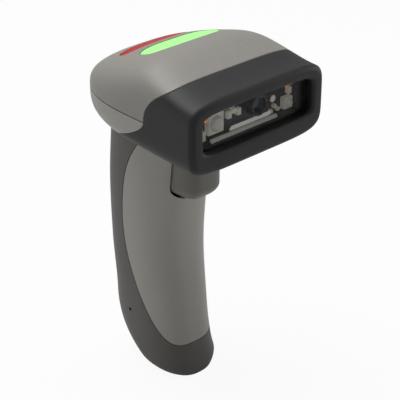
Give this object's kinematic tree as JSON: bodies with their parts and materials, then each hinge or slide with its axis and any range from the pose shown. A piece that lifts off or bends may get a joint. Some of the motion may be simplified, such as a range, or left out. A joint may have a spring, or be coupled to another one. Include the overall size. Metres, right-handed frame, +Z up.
{
  "type": "handheld barcode scanner",
  "caption": "Pistol-grip barcode scanner: wide booted nose with a glass window, crown indicator lenses, two-tone handle and a sprung trigger.",
  "frame": {"origin": "centre of the bounding box at the handle's base, which stands on Z = 0", "axes": "+Z up along the handle, the nose and its window face -Y, X across the head"},
  "size_m": [0.074, 0.0834, 0.1594],
  "materials": {
    "light_shell": "fine moulded grain",
    "dark_grip": "fine moulded grain",
    "boot_rubber": "matte rubber",
    "black_plastic": "matte",
    "window_glass": "clear, polished",
    "seal_rubber": "soft black",
    "trigger_plastic": "fine moulded grain",
    "steel": "plain zinc",
    "board_green": "solder mask",
    "chip_black": "moulded package",
    "green_lens": "translucent, lit green",
    "red_lens": "translucent, red",
    "led_white": "resin",
    "clear_optic": "clear, polished",
    "amber": "resin",
    "mirror_metal": "bright",
    "flex_film": "polyimide film",
    "plunger_white": "smooth",
    "contact_gold": "plated"
  },
  "bodies": {
    "housing": {"head_top_shell": "light_shell", "head_bottom_shell": "light_shell", "nose_boot": "boot_rubber", "window_frame": "black_plastic", "window": "window_glass", "window_gasket": "seal_rubber", "handle_front_shell": "light_shell", "handle_back_grip": "dark_grip", "trigger_pin": "steel", "trigger_spring": "steel", "trigger_switch": "chip_black", "switch_board": "board_green", "lens_carrier": "black_plastic", "front_lens": "green_lens", "rear_lens": "red_lens", "indicator_board": "board_green", "indicator_leds": "led_white", "engine_chassis": "black_plastic", "lens_barrel": "black_plastic", "lens_glass": "clear_optic", "sensor_board": "board_green", "light_bar": "clear_optic", "mirror_strip": "mirror_metal", "illumination_leds": "led_white", "led_lenses": "clear_optic", "aiming_leds": "amber", "engine_parts": "led_white", "engine_screws": "steel", "main_board": "board_green", "board_screws": "steel", "board_parts": "chip_black", "beeper": "chip_black", "flex_cable": "flex_film", "handle_flex": "flex_film", "cable_socket": "black_plastic", "socket_contacts": "contact_gold", "head_screws": "steel", "grip_screw": "steel"},
    "trigger": {"trigger": "trigger_plastic"},
    "plunger": {"switch_plunger": "plunger_white"}
  },
  "joints": [
    {"name": "trigger_pull", "type": "hinge", "parent": "housing", "child": "trigger", "pos_m": [0, 0.0033, 0.1185], "axis": [1, 0, 0], "range_deg": [0, 6], "stiffness_Nm_per_rad": 0.5, "springref_deg": -3.44, "deforming": ["trigger_spring"]},
    {"name": "plunger_press", "type": "slide", "parent": "housing", "child": "plunger", "axis": [0, 1, 0], "range_m": [0, 0.0024]}
  ],
  "couplings": [
    {"joint": "plunger_press", "follows": "trigger_pull", "m_per_rad": 0.0216}
  ]
}
